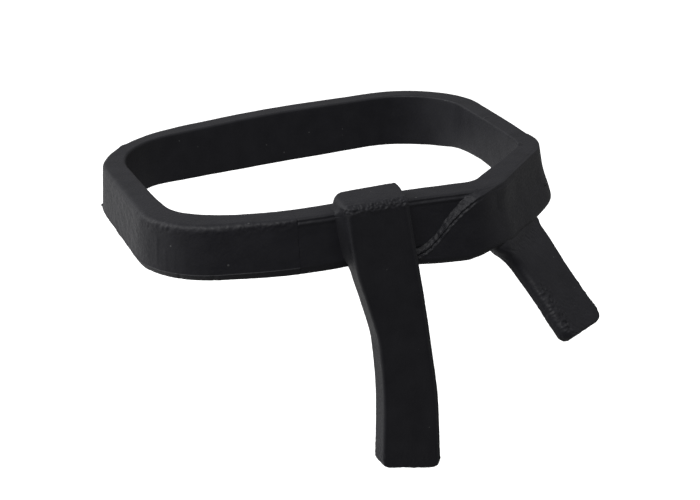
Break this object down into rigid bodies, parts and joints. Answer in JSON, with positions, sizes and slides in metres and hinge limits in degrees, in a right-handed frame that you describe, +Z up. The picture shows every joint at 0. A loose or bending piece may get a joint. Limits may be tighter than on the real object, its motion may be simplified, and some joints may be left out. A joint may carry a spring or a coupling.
{
  "type": "miniature martial arts belt",
  "caption": "Moulded soft rubber martial arts belt for a one-sixth scale figure, tied in front with a knot strap, a diagonal overlap and hanging ends that flex.",
  "frame": {"origin": "centre of the waist opening, half way up the band", "axes": "+Z up along the wearer's waist, -Y to the wearer's front, +X to the wearer's left"},
  "size_m": [0.0547, 0.0516, 0.0346],
  "materials": {
    "black_rubber": "matte black moulded rubber with a fine grain"
  },
  "bodies": {
    "waist": {"waist_band": "black_rubber", "inner_wrap": "black_rubber", "outer_wrap": "black_rubber", "knot_loop": "black_rubber"},
    "front_end": {"front_tail": "black_rubber"},
    "side_end": {"side_tail": "black_rubber"}
  },
  "joints": [
    {"name": "front_end_flex", "type": "hinge", "parent": "waist", "child": "front_end", "pos_m": [-0.0036, -0.0219, -0.005], "axis": [-1, 0, 0], "range_deg": [-20, 45], "stiffness_Nm_per_rad": 0.005},
    {"name": "side_end_flex", "type": "hinge", "parent": "waist", "child": "side_end", "pos_m": [0.01546, -0.01877, -0.00545], "axis": [-0.7627, -0.6468, 0], "range_deg": [-30, 35], "stiffness_Nm_per_rad": 0.003}
  ]
}
